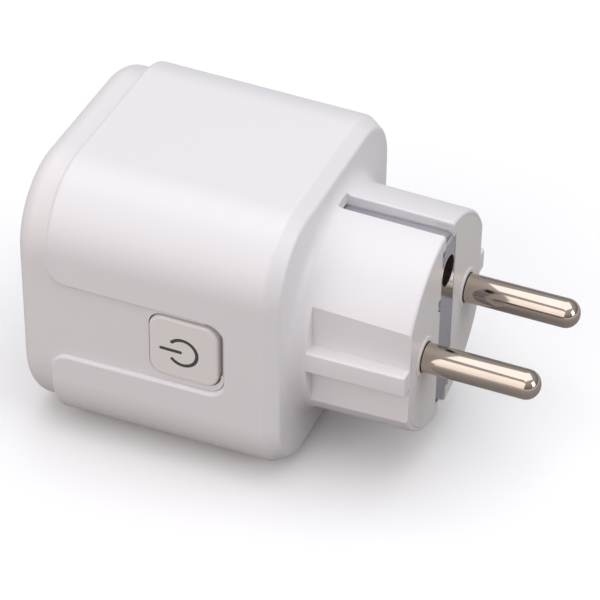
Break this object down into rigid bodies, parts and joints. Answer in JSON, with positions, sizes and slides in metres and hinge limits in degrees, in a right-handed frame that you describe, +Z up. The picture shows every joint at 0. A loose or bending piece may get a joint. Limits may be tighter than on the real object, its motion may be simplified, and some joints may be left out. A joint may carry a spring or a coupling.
{
  "type": "plug-in power meter",
  "caption": "Smart plug adapter that meters energy: round two-pin earthed plug behind, cupped shuttered socket in front, square white body with a side push button.",
  "frame": {"origin": "midway between the two pin axes on the plug's end face", "axes": "+X out along the pins, +Z up with the earth pin hole above the pins, -Y towards the push button"},
  "size_m": [0.0824, 0.0482, 0.0482],
  "materials": {
    "housing_plastic": "satin white flame-retardant polycarbonate, lightly polished mould",
    "cover_plastic": "satin white polycarbonate",
    "insert_plastic": "white polyamide",
    "pin_metal": "nickel-plated turned brass, polished",
    "earth_metal": "nickel-plated spring bronze, bright",
    "rivet_metal": "plain brass",
    "button_plastic": "satin white ABS",
    "symbol_ink": "dark grey pad print",
    "switch_plastic": "black nylon",
    "plunger_plastic": "black nylon",
    "carrier_plastic": "natural white nylon",
    "slider_plastic": "natural white acetal",
    "spring_steel": "drawn spring wire",
    "board_laminate": "green solder mask on glass-epoxy laminate",
    "module_laminate": "dark blue solder mask",
    "shield_metal": "tinned steel can",
    "screw_steel": "zinc-plated steel",
    "relay_case": "black polyester case",
    "film_case": "yellow polyester box",
    "can_sleeve": "black shrink sleeve",
    "ferrite": "dark ferrite drum",
    "varistor_coat": "blue dipped epoxy",
    "resistor_coat": "green cement coating",
    "shunt_metal": "manganin strip",
    "chip_mould": "black epoxy moulding",
    "contact_brass": "phosphor bronze, bright",
    "header_plastic": "black nylon with tinned pins",
    "light_lens": "milky epoxy lens"
  },
  "bodies": {
    "body": {"board_header": "header_plastic", "board_screws": "screw_steel", "bridge_rectifier": "chip_mould", "bulk_capacitors": "can_sleeve", "choke": "ferrite", "contact_far": "contact_brass", "contact_near": "contact_brass", "control_board": "board_laminate", "current_shunt": "shunt_metal", "earth_bow": "earth_metal", "earth_clip_bottom": "earth_metal", "earth_clip_top": "earth_metal", "earth_receptacle": "earth_metal", "earth_rivets": "rivet_metal", "film_capacitor": "film_case", "front_cover": "cover_plastic", "fusible_resistor": "resistor_coat", "main_board": "board_laminate", "main_housing": "housing_plastic", "metering_chip": "chip_mould", "output_capacitor": "can_sleeve", "plug_insert": "insert_plastic", "plug_pin_far": "pin_metal", "plug_pin_near": "pin_metal", "radio_module": "module_laminate", "radio_shield": "shield_metal", "relay": "relay_case", "shutter_carrier": "carrier_plastic", "shutter_spring": "spring_steel", "status_light": "light_lens", "supply_chip": "chip_mould", "switch_body": "switch_plastic", "varistor": "varistor_coat"},
    "button": {"button_cap": "button_plastic", "power_symbol": "symbol_ink"},
    "plunger": {"switch_plunger": "plunger_plastic"},
    "slider": {"shutter_slider": "slider_plastic"}
  },
  "joints": [
    {"name": "button_press", "type": "slide", "parent": "body", "child": "button", "axis": [0, 1, 0], "range_m": [0, 0.0003], "stiffness_N_per_m": 4000, "springref_m": -0.0001},
    {"name": "plunger_press", "type": "slide", "parent": "body", "child": "plunger", "axis": [0, 1, 0], "range_m": [0, 0.0003]},
    {"name": "shutter_open", "type": "slide", "parent": "body", "child": "slider", "axis": [0, 0, -1], "range_m": [0, 0.0062], "stiffness_N_per_m": 60, "springref_m": -0.002, "deforming": ["shutter_spring"]}
  ],
  "couplings": [
    {"joint": "plunger_press", "follows": "button_press", "ratio": 1}
  ]
}
